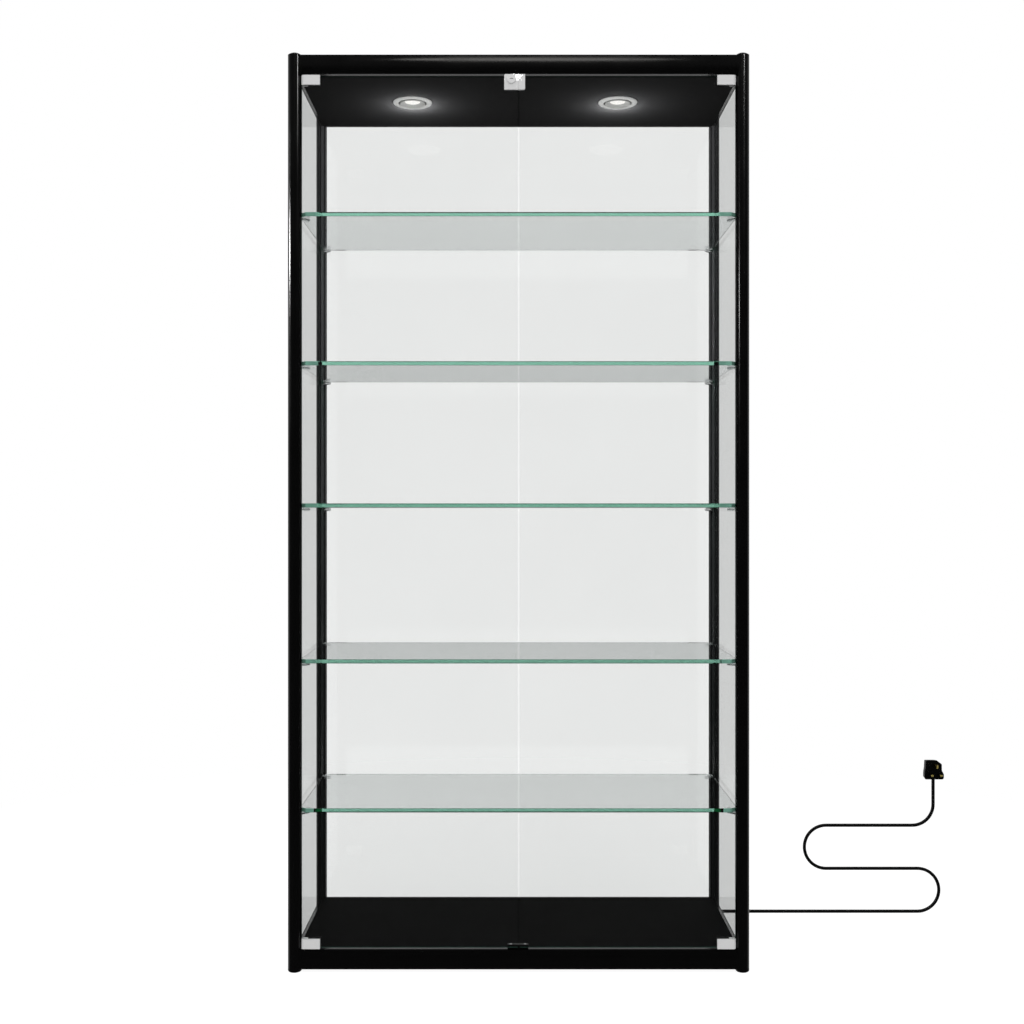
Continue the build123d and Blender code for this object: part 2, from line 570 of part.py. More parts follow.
with BuildPart() as spotlight_springs:
    for x, y in SPOTS:
        for dy in (-1, 1):
            block(x - 6, x + 6, min(y + dy * 37.4, y + dy * 62), max(y + dy * 37.4, y + dy * 62), CEILING + 16, CEILING + 17)
            block(x - 6, x + 6, min(y + dy * 37.4, y + dy * 38.4), max(y + dy * 37.4, y + dy * 38.4), CEILING + 16, CEILING + 24)
keep(spotlight_springs, "spotlight_springs")

for (x, y), hand in zip(SPOTS, ("left", "right")):
    with BuildPart() as spotlight:
        # gimbal ring with a grey funnel down to the lens
        with BuildSketch(Plane(origin=(CX + x, CY + y, 0), x_dir=(1, 0, 0), z_dir=(0, -1, 0))) as s:
            with BuildLine():
                Polyline(
                    (26.5, 1934.6), (28.5, 1934.4), (29.8, 1935.4), (30.2, 1939.2),
                    (29.8, 1943.4), (24.6, 1943.4), (24.6, 1946.0), (20.4, 1946.0), (20.4, 1944.0), close=True,
                )
            make_face()
        revolve(axis=Axis((CX + x, CY + y, 0), (0, 0, 1)))
        for dx in (-1, 1):
            rod(Plane(origin=(CX + x + dx * 29, CY + y, SPOT_PIVOT_Z), z_dir=(dx, 0, 0)), 0.9, 5.0)
    with BuildPart() as lamp:
        with BuildSketch(Plane(origin=(CX + x, CY + y, 0), x_dir=(1, 0, 0), z_dir=(0, -1, 0))) as s:
            with BuildLine():
                Polyline((0, 1946.0), (23.5, 1946.0), (23.5, 1950), (16, 1966), (9, 1968), (9, 1973), (0, 1973), close=True)
            make_face()
        revolve(axis=Axis((CX + x, CY + y, 0), (0, 0, 1)))
    both = Compound(label=f"{hand}_spotlight", children=[*spotlight.part.solids(), *lamp.part.solids()])
    export_step(both, f"parts/{hand}_spotlight.step")

# ---------------------------------------------------------------------------
# Electrical: driver under the deck, lamp wire up the rear right post, mains
# lead out of the rear rail, and a fused three-pin plug.
# ---------------------------------------------------------------------------
with BuildPart() as led_driver:
    block(280, 400, 108, 150, 12, 33)
    fillet(led_driver.edges().filter_by(Axis.Z), 3)
    chamfer(led_driver.edges().group_by(Axis.Z)[0], 1)
keep(led_driver, "led_driver")


def at3(x, y, z):
    return (CX + x, CY + y, z)


d = 1 / sqrt(2)
WIRE_Z0, WIRE_Z1, BEND = 22.0, 1966.0, 4.0
bx, by = POST_X - BEND * d, POST_Y - BEND * d        # where the bends begin
k = BEND * (1 - d)
with BuildPart() as lamp_wire:
    with BuildLine() as path:
        Line(at3(400, 130, WIRE_Z0), at3(425, 130, WIRE_Z0))
        Spline(at3(425, 130, WIRE_Z0), at3(460, 160, WIRE_Z0), tangents=((1, 0, 0), (d, d, 0)))
        Line(at3(460, 160, WIRE_Z0), at3(bx, by, WIRE_Z0)) if abs((bx - 460) - (by - 160)) < 1e-6 else None
        ThreePointArc(at3(bx, by, WIRE_Z0), at3(POST_X - k * d, POST_Y - k * d, WIRE_Z0 + k), at3(POST_X, POST_Y, WIRE_Z0 + BEND))
        Line(at3(POST_X, POST_Y, WIRE_Z0 + BEND), at3(POST_X, POST_Y, WIRE_Z1 - BEND))
        ThreePointArc(at3(POST_X, POST_Y, WIRE_Z1 - BEND), at3(POST_X - k * d, POST_Y - k * d, WIRE_Z1 - k), at3(bx, by, WIRE_Z1))
        Line(at3(bx, by, WIRE_Z1), at3(460, 160, WIRE_Z1))
        Spline(at3(460, 160, WIRE_Z1), at3(400, 80, WIRE_Z1), at3(320, 60, WIRE_Z1), at3(230, 62, WIRE_Z1), at3(0, 60, WIRE_Z1), at3(-170, 45, WIRE_Z1), at3(-204, 6, WIRE_Z1), tangents=((-d, -d, 0), (-0.5, -0.866, 0)))
    with BuildSketch(Plane(origin=at3(400, 130, WIRE_Z0), z_dir=(1, 0, 0))) as s:
        Circle(1.5)
    sweep(transition=Transition.ROUND)
keep(lamp_wire, "lamp_wire")

Y = CABLE_Y
with BuildPart() as mains_cable:
    with BuildLine() as path:
        Line(at3(380, 150, 20), at3(380, 202.5, 20))
        ThreePointArc(at3(380, 202.5, 20), at3(390 - 10 * d, 202.5 + 10 * d, 20), at3(390, Y, 20))
        Spline(at3(390, Y, 20), at3(450, Y, 4), tangents=((1, 0, 0), (1, 0, 0)))
        Line(at3(450, Y, 4), at3(992, Y, 4))
        ThreePointArc(at3(992, Y, 4), at3(992 + 53.2, Y, 57.2), at3(992, Y, 110.4))
        Line(at3(992, Y, 110.4), at3(765, Y, 110.4))
        ThreePointArc(at3(765, Y, 110.4), at3(765 - 53.5, Y, 163.9), at3(765, Y, 217.4))
        Line(at3(765, Y, 217.4), at3(979, Y, 217.4))
        ThreePointArc(at3(979, Y, 217.4), at3(979 + 52 * d, Y, 269.4 - 52 * d), at3(979 + 52, Y, 269.4))
        Line(at3(1031, Y, 269.4), at3(1031, Y, 333))
    with BuildSketch(Plane(origin=at3(380, 150, 20), z_dir=(0, 1, 0))) as s:
        Circle(CABLE_R)
    sweep(transition=Transition.ROUND)
keep(mains_cable, "mains_cable")

with BuildPart() as cable_gland:
    rod(front(196.6, 380, 20), 8.0, 3.4)
    rod(front(193.2, 380, 20), 5.9, 4.4)
    rod(front(200, 380, 20), 4.05, 14, Mode.SUBTRACT)
keep(cable_gland, "cable_gland")

PLUG_X, PLUG_Z0, PLUG_Z1 = 1031.0, 333.0, 381.0
with BuildPart() as plug_body:
    # the pin face is the widest section: square shoulder on one side, sloping
    # shoulder on the other, drawn in to a waist above the two lower pins
    with BuildSketch(Plane(origin=(CX, CY + Y - 11, 0), x_dir=(-1, 0, 0), z_dir=(0, 1, 0))) as s:
        with BuildLine():
            Polyline(*[(-x, z) for x, z in (
                (PLUG_X - 21.5, PLUG_Z1), (PLUG_X + 5, PLUG_Z1), (PLUG_X + 18.5, PLUG_Z1 - 10), (PLUG_X + 18.7, PLUG_Z0 + 22.5),
                (PLUG_X + 23.61, PLUG_Z0 + 13), (PLUG_X + 23.61, PLUG_Z0), (PLUG_X - 24.5, PLUG_Z0), (PLUG_X - 24.5, PLUG_Z0 + 15),
                (PLUG_X - 22.5, PLUG_Z0 + 29))], close=True)
        make_face()
        fillet(s.vertices(), 5.0)
    extrude(amount=22, taper=8)
    pin_face = [e for e in plug_body.edges() if e.bounding_box().max.Y < CY + Y - 10.99]
    back_face = [e for e in plug_body.edges() if e.bounding_box().min.Y > CY + Y + 10.99]
    chamfer(pin_face, 0.8)
    chamfer(back_face, 1.4)
    # cord grip, flush with the foot of the plug
    rod(level(PLUG_Z0, PLUG_X, Y), 5.0, 9.0)
    for dx, dz, w, h in ((-11.1, 13, 6.35, 4.0), (11.1, 13, 6.35, 4.0), (0, 35.2, 4.0, 8.0)):
        block(PLUG_X + dx - w / 2, PLUG_X + dx + w / 2, Y - 12, Y - 4, PLUG_Z0 + dz - h / 2, PLUG_Z0 + dz + h / 2, Mode.SUBTRACT)
keep(plug_body, "plug_body")

with BuildPart() as plug_pins:
    for dx, dz, w, h, length in ((-11.1, 13, 6.35, 4.0, 17.7), (11.1, 13, 6.35, 4.0, 17.7), (0, 35.2, 4.0, 8.0, 22.7)):
        block(PLUG_X + dx - w / 2, PLUG_X + dx + w / 2, Y - 11 - length, Y - 4.05, PLUG_Z0 + dz - h / 2, PLUG_Z0 + dz + h / 2)
    chamfer(plug_pins.edges().group_by(Axis.Y)[0], 0.6)
    chamfer(plug_pins.edges().filter_by(Plane.XZ).group_by(Axis.Y)[0], 0.6)
keep(plug_pins, "plug_pins")
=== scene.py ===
"""Glass display cabinet: black frame, two glass doors, five glass shelves on corner
pins, a lock in the middle of the front and two spotlights in the ceiling.

The cabinet stands on z = 0 with its front towards -Y, its left towards -X and its
width along X. Places are in millimetres from the middle of the deck panel, unless
a comment says otherwise.
"""
import json
import math
import bpy
import bmesh
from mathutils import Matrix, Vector


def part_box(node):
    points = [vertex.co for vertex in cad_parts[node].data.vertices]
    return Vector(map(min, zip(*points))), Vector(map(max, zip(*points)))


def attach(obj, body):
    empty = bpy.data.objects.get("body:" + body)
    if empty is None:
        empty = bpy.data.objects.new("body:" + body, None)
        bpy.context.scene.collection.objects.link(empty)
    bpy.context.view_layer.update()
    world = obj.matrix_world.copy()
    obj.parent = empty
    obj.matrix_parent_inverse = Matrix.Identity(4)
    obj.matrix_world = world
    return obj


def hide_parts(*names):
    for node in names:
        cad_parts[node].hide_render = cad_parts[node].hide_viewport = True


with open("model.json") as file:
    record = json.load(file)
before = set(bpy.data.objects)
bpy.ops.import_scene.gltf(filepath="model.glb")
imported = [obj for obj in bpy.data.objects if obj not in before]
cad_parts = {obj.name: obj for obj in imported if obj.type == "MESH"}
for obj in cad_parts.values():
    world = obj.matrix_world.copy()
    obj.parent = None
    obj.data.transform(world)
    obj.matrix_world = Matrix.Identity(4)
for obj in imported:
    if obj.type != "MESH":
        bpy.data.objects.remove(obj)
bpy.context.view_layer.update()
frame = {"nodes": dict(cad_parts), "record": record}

nodes = frame["nodes"]
scene = bpy.context.scene

# ------------------------------------------------------------------ places
CEILING = 1941                      # underside of the ceiling, and of the top rail's lip
BOTTOM_LIP = 49                     # height of the bottom rail's flat lip
FRONT = -197                        # front of the posts
LOCK_FACE = -197.5                  # front of the lock plate
SPOTS = {"left": (-244, -5), "right": (230, -5)}
SUPPORT_CORNER = (485, 185)         # outer start of each diagonal shelf support
SUPPORT_DROP = 3.75                 # pin axis below the underside of the shelf
CAMERA = (-14.3, -2926.5, 995)

deck_low, deck_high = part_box("deck_panel")
CENTRE_X = (deck_low.x + deck_high.x) / 2
CENTRE_Y = (deck_low.y + deck_high.y) / 2


def place(x, y, z):
    """Point of the scene, in metres, from millimetres off the cabinet's middle."""
    return Vector((CENTRE_X + x * 0.001, CENTRE_Y + y * 0.001, z * 0.001))


def in_mm(point):
    """The inverse of place."""
    return (point.x - CENTRE_X) * 1000, (point.y - CENTRE_Y) * 1000, point.z * 1000


def bottom_of(node):
    return in_mm(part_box(node)[0])[2]


# ------------------------------------------------------------------ node helpers
def scaled(color, factor):
    return tuple(c * factor for c in color)


class Graph:
    """Shader tree of a material or a world."""

    def __init__(self, owner, output):
        self.owner = owner
        owner.use_nodes = True
        self.tree = owner.node_tree
        self.tree.nodes.clear()
        self.output = self.add(output)

    def feed(self, socket, value):
        """Links a socket to an input, or sets its value."""
        if isinstance(value, bpy.types.NodeSocket):
            self.tree.links.new(value, socket)
        elif socket.type == "RGBA":
            socket.default_value = (*value, 1)
        else:
            socket.default_value = value

    def feed_all(self, node, *values):
        for socket, value in zip(node.inputs, values):
            self.feed(socket, value)
        return node.outputs[0]

    def add(self, kind, **inputs):
        """New node; an underscore in an input's name stands for a space."""
        node = self.tree.nodes.new("ShaderNode" + kind)
        for name, value in inputs.items():
            self.feed(node.inputs[name.replace("_", " ")], value)
        return node

    def result(self, kind, **inputs):
        """First output of a new node."""
        return self.add(kind, **inputs).outputs[0]

    def math(self, operation, *values):
        node = self.add("Math")
        node.operation = operation
        return self.feed_all(node, *values)

    def mix(self, factor, first, second):
        return self.feed_all(self.add("MixShader"), factor, first, second)

    def axes(self, space="Object"):
        """X, Y and Z of the shaded point, in metres, or of the view direction."""
        source = self.add("TexCoord").outputs[space]
        return self.add("SeparateXYZ", Vector=source).outputs

    def coords(self, stretch=(1, 1, 1)):
        source = self.add("TexCoord").outputs["Object"]
        return self.result("Mapping", Vector=source, Scale=stretch)

    def noise(self, scale, detail=3.0, rough=0.5, stretch=(1, 1, 1)):
        return self.result("TexNoise", Scale=scale, Detail=detail, Roughness=rough,
                           Vector=self.coords(stretch))

    def remap(self, source, to, span=(0.0, 1.0), interpolation="LINEAR"):
        """Maps the span of the source onto the range to."""
        node = self.add("MapRange", Value=source, From_Min=span[0], From_Max=span[1],
                        To_Min=to[0], To_Max=to[1])
        node.interpolation_type = interpolation
        return node.outputs["Result"]

    def ramp(self, source, low, high, span=(0.3, 0.7)):
        """Colour from low to high across the span of the source."""
        node = self.add("ValToRGB", Fac=source)
        for stop, position, color in zip(node.color_ramp.elements, span, (low, high)):
            stop.position = position
            stop.color = (*color, 1)
        return node.outputs["Color"]

    def bump(self, source, strength, distance):
        return self.result("Bump", Height=source, Strength=strength, Distance=distance)

    def done(self, shader):
        self.feed(self.output.inputs["Surface"], shader)
        return self.owner


def new_material(name):
    return Graph(bpy.data.materials.new(name), "OutputMaterial")


# ------------------------------------------------------------------ opaque materials
PATCHY = (0.3, 0.7)                 # span of noise that drives uneven gloss


def coated_black(name, base, rough, grain=2600.0, depth=0.00002, spec=0.35):
    """Powder coat or moulded black: a fine orange peel, and patchy gloss."""
    m = new_material(name)
    fine = m.noise(grain, detail=2.0)
    wide = m.noise(scale=9.0, detail=4.0, rough=0.6)
    color = m.ramp(wide, low=scaled(base, 0.85), high=scaled(base, 1.15))
    gloss = m.remap(wide, to=(rough - 0.04, rough + 0.05), span=PATCHY)
    return m.done(m.result("BsdfPrincipled", Base_Color=color, Roughness=gloss,
                           Specular_IOR_Level=spec,
                           Normal=m.bump(fine, strength=0.25, distance=depth)))


def lip_material(name, gloss_from, gloss_to):
    """Flat lip of a front rail: glossy between two depths in Y, dull elsewhere."""
    m = new_material(name)
    y = m.axes()["Y"]
    behind = m.math("GREATER_THAN", y, place(0, gloss_from, 0).y)
    before = m.math("LESS_THAN", y, place(0, gloss_to, 0).y)
    gloss_gain, dull_level = 0.42, 0.004
    spec = m.math("MULTIPLY_ADD", m.math("MULTIPLY", behind, before), gloss_gain, dull_level)
    wide = m.noise(scale=9.0, detail=4.0, rough=0.6)
    color = m.ramp(wide, low=(0.0018, 0.0018, 0.0019), high=(0.0024, 0.0024, 0.0025))
    return m.done(m.result("BsdfPrincipled", Base_Color=color, Specular_IOR_Level=spec,
                           Roughness=m.remap(wide, to=(0.17, 0.2), span=PATCHY)))


def brushed(name, base, rough, metallic=1.0, stretch=(1, 60, 60), scale=60.0, coat=0.0):
    """Satin metal with a fine grain along one direction."""
    m = new_material(name)
    grain = m.noise(scale, detail=5.0, rough=0.7, stretch=stretch)
    speck = m.noise(scale=900.0, detail=2.0)
    color = m.ramp(grain, low=scaled(base, 0.93), high=scaled(base, 1.05), span=(0.25, 0.75))
    gloss = m.remap(grain, to=(rough - 0.05, rough + 0.07), span=PATCHY)
    return m.done(m.result("BsdfPrincipled", Base_Color=color, Roughness=gloss,
                           Metallic=metallic, Coat_Weight=coat, Coat_Roughness=0.03,
                           Normal=m.bump(speck, strength=0.12, distance=0.00001)))


POWDER_BLACK = (0.0021, 0.0021, 0.0022)
MELAMINE = {"base": (0.0037, 0.0037, 0.0038), "rough": 0.6, "grain": 1500.0, "depth": 0.00003}
PLASTIC_BLACK = (0.004, 0.004, 0.0043)
SILVER = {"base": (0.80, 0.80, 0.80), "rough": 0.40, "metallic": 0.08}

MAT = {
    "frame": coated_black("black_powder_coat", POWDER_BLACK, 0.17, depth=0.000008, spec=0.5),
    "board": coated_black("black_melamine", spec=0.007, **MELAMINE),
    "ceiling": coated_black("black_melamine_ceiling", spec=0.004, **MELAMINE),
    "rail": coated_black("black_powder_coat_rail", POWDER_BLACK, 0.13, depth=0.000006,
                         spec=0.5),
    "lip_top": lip_material("rail_lip_top", gloss_from=-195.3, gloss_to=-184.2),
    "lip_bottom": lip_material("rail_lip_bottom", gloss_from=-189.2, gloss_to=-180.0),
    "plastic": coated_black("black_plastic", PLASTIC_BLACK, 0.38, grain=1800.0, spec=0.12),
    "cable": coated_black("black_pvc", PLASTIC_BLACK, 0.42, grain=900.0, depth=0.00004),
    "rubber": coated_black("gasket_rubber", (0.006, 0.006, 0.006), 0.7, grain=700.0,
                           depth=0.00004, spec=0.2),
    "silver": brushed("satin_silver", **SILVER),
    "lock_plate": brushed("polished_plate", coat=1.0, **SILVER),
    "bezel": brushed("satin_bezel", (0.74, 0.74, 0.73), 0.40, metallic=0.1,
                     stretch=(1, 1, 30)),
    "steel": brushed("bright_steel", (0.55, 0.55, 0.56), 0.25, scale=90.0),
    "chrome": brushed("chrome", (0.72, 0.72, 0.73), 0.12, scale=200.0),
    "brass": brushed("brass", (0.62, 0.50, 0.14), 0.3, metallic=0.35),
    # a darker copy of the same brass for the pins' sides: painted shade
    "brass_painted_shade": brushed("brass_painted_shade", (0.42, 0.32, 0.10), 0.28),
}


# ------------------------------------------------------------------ glass
def soft_rays(m, rays):
    """1 for shadow and diffuse rays, which pass straight through glass."""
    return m.math("MAXIMUM", rays["Is Shadow Ray"], rays["Is Diffuse Ray"])


def pane_material(name, tint, graze=0.9, bend=None):
    """Thin glass: tinted straight-through light with mirror reflection that
    grows towards grazing angles. bend is the index of refraction, if it refracts."""
    m = new_material(name)
    facing = m.add("LayerWeight", Blend=0.5).outputs["Facing"]
    head_on = 0.04                  # share reflected when seen head on
    reflected = m.math("MULTIPLY_ADD", m.math("POWER", facing, 5.0), graze, head_on)
    smudge = m.noise(scale=3.0, detail=5.0, rough=0.6)
    color = m.ramp(smudge, low=scaled(tint, 0.993), high=tint)
    clear = m.result("BsdfTransparent", Color=color)
    if bend:
        refracted = m.result("BsdfRefraction", IOR=bend, Roughness=0.0, Color=color)
        rays = m.add("LightPath").outputs
        clear = m.mix(soft_rays(m, rays), refracted, clear)
    mirror = m.result("BsdfGlossy", Roughness=0.01)
    return m.done(m.mix(reflected, clear, mirror))


def edge_material(name, deep, pale):
    """Polished edge of a pane: green depth with paler streaks."""
    m = new_material(name)
    streak = m.noise(scale=14.0, detail=4.0, rough=0.6, stretch=(1, 1, 0.15))
    color = m.ramp(streak, low=deep, high=pale, span=(0.3, 0.75))
    return m.done(m.result("BsdfPrincipled", Base_Color=color, Roughness=0.5, IOR=1.5,
                           Specular_IOR_Level=0.0))


def shelf_material(name, tint, painted_glow=0.0, pale=1.0, start=0.0):
    """Float glass, green along its length. tint colours it for camera rays.

    The third argument is the share of a matte green painted at both ends of the
    front edge, a painted glow standing in for light carried through the glass;
    pale is its brightness, and start its distance in X from the middle, in metres.
    """
    m = new_material(name)
    rays = m.add("LightPath").outputs
    smudge = m.noise(scale=4.0, detail=5.0, rough=0.6)
    seen = m.add("Mix")
    seen.data_type = "RGBA"
    # inputs 6 and 7 and output 2 are the colours of a Mix node
    m.feed(seen.inputs[6], (1, 1, 1))
    m.feed(seen.inputs[7], tint)
    m.feed(seen.inputs[0], rays["Is Camera Ray"])
    glass = m.result("BsdfGlass", IOR=1.5, Color=seen.outputs[2],
                     Roughness=m.remap(smudge, to=(0.0, 0.012), span=(0.45, 0.8)))
    # a matte green painted at both ends of the front edge: a painted glow standing in for light
    # carried through the glass
    if painted_glow:
        at = m.axes()
        off = m.math("ABSOLUTE", m.math("SUBTRACT", at["X"], CENTRE_X))
        front_strip = m.math("LESS_THAN", at["Y"], CENTRE_Y - 0.15)
        ends = m.math("MULTIPLY", m.math("GREATER_THAN", off, start), front_strip)
        glow_noise = m.noise(scale=120.0, detail=4.0, rough=0.6)
        green = m.ramp(glow_noise, low=scaled((0.27, 0.60, 0.47), pale),
                       high=scaled((0.34, 0.70, 0.56), pale))
        end_glow_paint = m.result("BsdfDiffuse", Color=green)
        glass = m.mix(m.math("MULTIPLY", ends, painted_glow), glass, end_glow_paint)
    clear = m.result("BsdfTransparent", Color=(0.90, 0.93, 0.92))
    body = m.result("VolumeAbsorption", Color=(0.236, 0.748, 0.576), Density=4.2)
    m.feed(m.output.inputs["Volume"], body)
    return m.done(m.mix(soft_rays(m, rays), glass, clear))


MAT["pane"] = pane_material("clear_pane", tint=(0.984, 0.987, 0.985))
# The side panes are the same glass as the doors; their darker tint is painted shade for the
# light lost through glass seen at a grazing angle.
MAT["side_pane"] = pane_material("side_pane", tint=(0.873, 0.877, 0.875), graze=0.42, bend=1.5)
MAT["edge"] = edge_material("pane_edge", deep=(0.012, 0.030, 0.024), pale=(0.035, 0.075, 0.060))
MAT["shelf"] = shelf_material("shelf_face", tint=(0.895, 0.89, 0.895))

# grey of the edge tint, pale, start; shelves 1 to 5. grey and pale are painted light and shade,
# set shelf by shelf: the edges of shelf 1, nearest the spotlights, are painted brightest, those
# of the lower shelves darker.
SHELF_EDGES = [
    (1.0, 1.27, 0.4345),
    (0.93, 1.2, 0.4345),
    (0.69, 1.0, 0.4345),
    (0.67, 1.15, 0.440),
    (0.70, 1.2, 0.4445),
]
for number, (grey, pale, start) in enumerate(SHELF_EDGES, 1):
    # share of the painted end glow on the edges and on the slanting corners
    for part, painted_glow in (("edge", 0.80), ("corner", 0.95)):
        name = f"shelf_{part}_{number}"
        MAT[name] = shelf_material(name, (grey, grey, grey), painted_glow, pale, start)


# ------------------------------------------------------------------ lamp and sleeve
def lens_material():
    """Glowing lens with a cellular pattern, dimmer to the camera than to the scene."""
    m = new_material("lamp_lens")
    cells = m.add("TexVoronoi", Scale=260.0, Vector=m.coords()).outputs["Distance"]
    camera = m.add("LightPath").outputs["Is Camera Ray"]
    camera_loss, full = -0.615, 1.0
    dimming = m.math("MULTIPLY_ADD", camera, camera_loss, full)
    strength = m.math("MULTIPLY", m.remap(cells, to=(3.4, 2.6), span=(0.0, 0.6)), dimming)
    return m.done(m.result("Emission", Strength=strength, Color=(1.0, 0.985, 0.95)))


def sleeve_material():
    """Clear sleeve that turns glossy towards its outline."""
    m = new_material("clear_sleeve")
    cloud = m.noise(scale=300.0, detail=2.0)
    color = m.ramp(cloud, low=(0.86, 0.87, 0.87), high=(0.95, 0.96, 0.96))
    clear = m.result("BsdfTransparent", Color=color)
    shine = m.result("BsdfGlossy", Roughness=0.12)
    facing = m.add("LayerWeight", Blend=0.35).outputs["Facing"]
    return m.done(m.mix(m.remap(facing, to=(0.06, 0.85)), clear, shine))


MAT["lens"] = lens_material()
MAT["funnel"] = brushed("lamp_reflector", (0.52, 0.52, 0.51), 0.45, metallic=0.3)
MAT["sleeve"] = sleeve_material()

# ------------------------------------------------------------------ CAD pieces
SLOT = {part["node"]: part["material_slot"] for part in frame["record"]["subparts"]}
SLOT_LOOK = {
    "black_frame": "frame", "black_board": "board", "black_plastic": "plastic",
    "satin_metal": "silver", "steel": "steel", "seal": "rubber", "lamp": "bezel",
    "cable": "cable", "plug_brass": "brass", "chrome_pins": "chrome",
}
# which axis each pane faces: 0 is X, 1 is Y
PANE_AXIS = {"left_door_glass": 1, "right_door_glass": 1, "back_glass": 1,
             "side_glass_left": 0, "side_glass_right": 0}
SHELVES = range(1, 6)

# pieces whose materials differ from those of their slot
OWN_LOOK = {
    "ceiling_panel": ["ceiling"],
    "top_front_rail": ["rail", "lip_top"],
    "bottom_front_rail": ["rail", "lip_bottom"],
    "lock_housing": ["lock_plate"],
    "lock_cover": ["lock_plate"],
    "lock_strike": ["lock_plate"],
    "plug_pins": ["brass", "brass_painted_shade", "plastic"],
}
for name, axis in PANE_AXIS.items():
    OWN_LOOK[name] = ["pane" if axis else "side_pane", "edge"]
for i in SHELVES:
    OWN_LOOK[f"shelf_{i}"] = ["shelf", f"shelf_edge_{i}", f"shelf_corner_{i}"]
    OWN_LOOK[f"shelf_{i}_supports"] = ["chrome", "sleeve"]

for name, piece in nodes.items():
    slot = SLOT.get(name)
    look = OWN_LOOK.get(name) or ([SLOT_LOOK[slot]] if slot in SLOT_LOOK else None)
    if look:
        piece.data.materials.clear()
        for key in look:
            piece.data.materials.append(MAT[key])


# Each rule below picks a face's place in the piece's list of materials.
def paint_faces(node, rule):
    for face in nodes[node].data.polygons:
        face.material_index = rule(face)


def lip_rule(height):
    """Level faces at the lip's height are the lip."""
    def rule(face):
        level = abs(face.normal.z) > 0.95
        return 1 if level and abs(face.center.z - height * 0.001) < 0.0008 else 0
    return rule


def pane_rule(axis):
    return lambda face: 0 if abs(face.normal[axis]) > 0.95 else 1


def pin_rule(bottom, sleeve=8):
    """Plug pins: brass fronts, other faces in a darker copy of the brass as painted shade, and
    black sides over the sleeve's height.
    """
    def rule(face):
        if face.normal.y < -0.9:
            return 0
        low = in_mm(face.center)[2] < bottom + sleeve
        return 2 if low and abs(face.normal.y) < 0.2 else 1
    return rule


def shelf_rule(face):
    """Level faces, then edges, then the slanting corners."""
    nx, ny, nz = (abs(c) for c in face.normal)
    if nz > 0.95:
        return 0
    return 2 if nx > 0.3 and ny > 0.3 else 1


def support_rule(pin_height):
    """Bright pins at 45 degrees, with a clear sleeve over their inner part."""
    def rule(face):
        x, y, z = in_mm(face.center)
        side_x, side_y = math.copysign(1, x), math.copysign(1, y)
        from_x = x - side_x * SUPPORT_CORNER[0]
        from_y = y - side_y * SUPPORT_CORNER[1]
        along = -(from_x * side_x + from_y * side_y) / math.sqrt(2)
        sideways = (from_x * side_y - from_y * side_x) / math.sqrt(2)
        across = math.hypot(sideways, z - pin_height)
        outside = across > 3.0 or (abs(face.normal.z) < 0.2 and across > 2.6)
        return 1 if along > 15.0 and outside else 0
    return rule


paint_faces("top_front_rail", lip_rule(CEILING))
paint_faces("bottom_front_rail", lip_rule(BOTTOM_LIP))
paint_faces("plug_pins", pin_rule(bottom_of("plug_pins")))
for name, axis in PANE_AXIS.items():
    paint_faces(name, pane_rule(axis))
for i in SHELVES:
    paint_faces(f"shelf_{i}", shelf_rule)
    paint_faces(f"shelf_{i}_supports", support_rule(bottom_of(f"shelf_{i}") - SUPPORT_DROP))


# ------------------------------------------------------------------ spotlights
def lathe(name, centre, profile, material, body, segments):
    """Turns a profile of (radius, height) about an upright axis at centre (x, y)."""
    verts, faces = [], []
    count = len(profile)
    for i in range(segments):
        turn = 2 * math.pi * i / segments
        for radius, height in profile:
            verts.append(tuple(place(centre[0] + radius * math.cos(turn),
                                     centre[1] + radius * math.sin(turn), height)))
        here, there = i * count, (i + 1) % segments * count
        for k in range(count - 1):
            faces.append((here + k, there + k, there + k + 1, here + k + 1))
    mesh = bpy.data.meshes.new(name)
    mesh.from_pydata(verts, [], faces)
    mesh.polygons.foreach_set("use_smooth", [True] * len(mesh.polygons))
    mesh.materials.append(MAT[material])

    bm = bmesh.new()
    bm.from_mesh(mesh)
    bmesh.ops.remove_doubles(bm, verts=bm.verts, dist=1e-7)
    bmesh.ops.recalc_face_normals(bm, faces=bm.faces)
    bm.to_mesh(mesh)
    bm.free()
    keep_sharp(mesh, 35)

    turned = bpy.data.objects.new(name, mesh)
    scene.collection.objects.link(turned)
    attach(turned, body)
    return turned


def keep_sharp(mesh, angle):
    """Keeps edges at or above the angle, in degrees, sharp in smooth shading."""
    bm = bmesh.new()
    bm.from_mesh(mesh)
    for edge in bm.edges:
        if len(edge.link_faces) == 2:
            edge.smooth = edge.calc_face_angle(0.0) < math.radians(angle)
    bm.to_mesh(mesh)
    bm.free()


def bezel_profile():
    """Rim below the ceiling, its underside bulging down, and a thin upright collar."""
    bulge = [(33.2 + 9.8 * t, 1937.9 - 0.75 * math.sin(math.pi * t) + 0.9 * t)
             for t in [k / 12 for k in range(13)]]
    return [
        (32.2, 1941.0), (32.2, 1939.2), (32.5, 1938.4), *bulge, (44.0, 1939.3),
        (44.7, 1940.0), (45.0, 1940.95), (37.3, 1940.97), (37.3, 1958.6), (37.0, 1959.0),
        (36.3, 1959.0), (36.0, 1958.6), (36.0, 1941.4), (35.6, 1941.0), (32.2, 1941.0),
    ]


# closed section of the ring around the lens
GIMBAL_PROFILE = [
    (26.3, 1937.2), (26.7, 1936.8), (28.6, 1936.8), (29.4, 1937.2), (29.5, 1938.2),
    (29.6, 1939.6), (29.6, 1942.0), (29.2, 1943.2), (28.2, 1943.4), (24.6, 1943.4),
    (24.6, 1945.9), (17.4, 1945.9), (17.5, 1943.6), (18.6, 1942.6), (21.4, 1941.0),
    (24.2, 1939.0), (26.0, 1937.6), (26.3, 1937.2),
]


